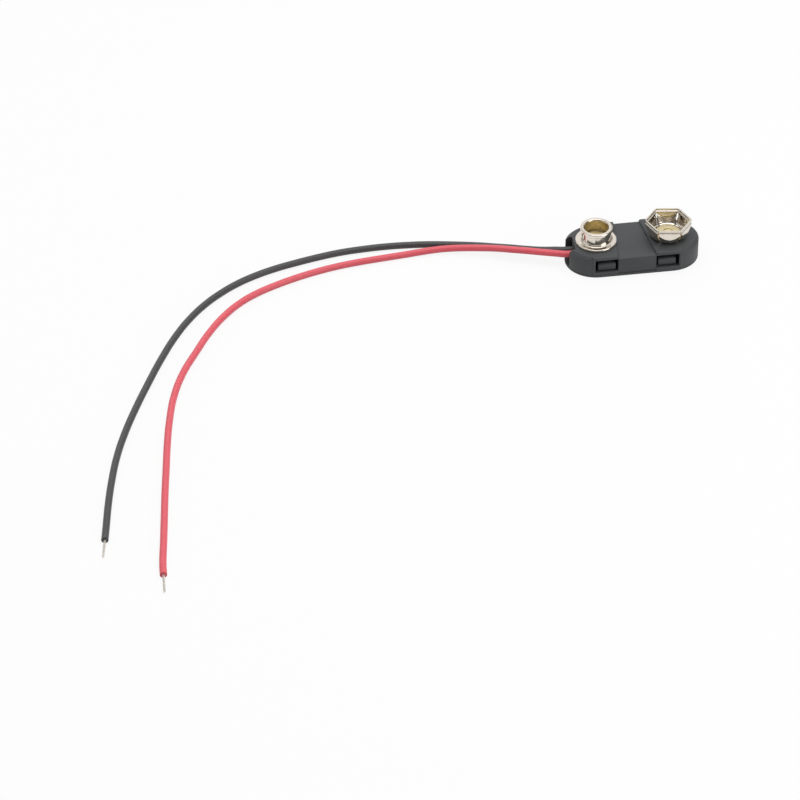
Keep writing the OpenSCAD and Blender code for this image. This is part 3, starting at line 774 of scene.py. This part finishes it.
# %% White table
TABLE_SIZE = 3000
TABLE_GAP = 0.02
GLOW_SHARE = 0.88
bpy.ops.object.select_all(action="DESELECT")
bpy.ops.mesh.primitive_plane_add(size=TABLE_SIZE * MM, location=(0, 0, -TABLE_GAP * MM))
table = bpy.context.object
table.name = "table"
white, tree, shader, place = new_material("white_table")
shader.inputs["Roughness"].default_value = 0.9
ray = add_node(tree, "ShaderNodeLightPath")
glossy_or_camera = add_node(tree, "ShaderNodeMath", {"operation": "MAXIMUM"}, {
    0: ray.outputs["Is Camera Ray"], 1: ray.outputs["Is Glossy Ray"]})
seen = add_node(tree, "ShaderNodeMath", {"operation": "MAXIMUM"}, {
    0: glossy_or_camera.outputs[0], 1: ray.outputs["Is Transmission Ray"]})
pale = add_node(tree, "ShaderNodeMix", {"data_type": "RGBA"}, {
    0: seen.outputs[0], 6: colour("#b4b4b4"), 7: colour("#ffffff")})
tree.links.new(pale.outputs[2], shader.inputs["Base Color"])
share = add_node(tree, "ShaderNodeMath", {"operation": "MULTIPLY"}, {
    0: seen.outputs[0], 1: GLOW_SHARE})
glow = add_node(tree, "ShaderNodeEmission", inputs={"Color": (1, 1, 1, 1), "Strength": 1})
mixed = add_node(tree, "ShaderNodeMixShader", inputs={
    0: share.outputs[0], 1: shader.outputs["BSDF"], 2: glow.outputs["Emission"]})
tree.links.new(mixed.outputs["Shader"], tree.nodes["Material Output"].inputs["Surface"])
finish_with(white, table)
print("table:", table.name)

# %% [markdown]
# The room is bright above and behind and dim and brown on the camera's side, which gives the nickel
# its brown bands, so the sky is a ramp along a slanted direction instead of a plain white. Six soft
# boxes add the light of a small studio: the strongest hangs over the housing, the next stands low
# at the right front and lights the round end, and the others only lift the shadows.

# %% Sky
BRIGHT_SIDE = (-0.15, 0.62, 0.77)
DIM_UNTIL, WHITE_FROM = 0.1, 0.75
SKY_STRENGTH = 0.46
world = bpy.context.scene.world or bpy.data.worlds.new("studio")
bpy.context.scene.world = world
world.use_nodes = True
tree = world.node_tree
direction = add_node(tree, "ShaderNodeTexCoord").outputs["Generated"]
slant = add_node(tree, "ShaderNodeVectorMath", {"operation": "DOT_PRODUCT"}, {
    0: direction, 1: BRIGHT_SIDE}).outputs["Value"]
sky = add_node(tree, "ShaderNodeValToRGB", inputs={"Fac": slant})
sky.color_ramp.elements[0].position = DIM_UNTIL
sky.color_ramp.elements[0].color = colour("#4a3f36")
sky.color_ramp.elements[1].position = WHITE_FROM
sky.color_ramp.elements[1].color = colour("#ffffff")
background = tree.nodes["Background"]
tree.links.new(sky.outputs["Color"], background.inputs["Color"])
background.inputs["Strength"].default_value = SKY_STRENGTH
print("sky strength:", SKY_STRENGTH)

# %% Soft boxes
# Each box has its place and its width in millimetres, and its watts.
SOFT_BOXES = {
    "top": ((0, 0, 500), 500, 1.25),
    "right_front": ((345, -345, 160), 300, 0.85),
    "right_back": ((290, 170, 370), 430, 0.3),
    "left": ((-470, 0, 170), 430, 0.32),
    "back": ((-60, 450, 210), 430, 0.32),
    "front": ((0, -470, 170), 430, 0.15),
}


def soft_lamp(name, place_mm, size_mm, watts):
    """A square soft box that faces the housing."""
    bpy.ops.object.light_add(type="AREA", location=Vector(place_mm) * MM)
    lamp = bpy.context.object
    lamp.name = name
    lamp.rotation_euler = lamp.location.to_track_quat("Z", "Y").to_euler()
    lamp.data.size = size_mm * MM
    lamp.data.energy = watts


for name, (place_mm, size_mm, watts) in SOFT_BOXES.items():
    soft_lamp(name, place_mm, size_mm, watts)

# %% Update the scene
bpy.context.view_layer.update()
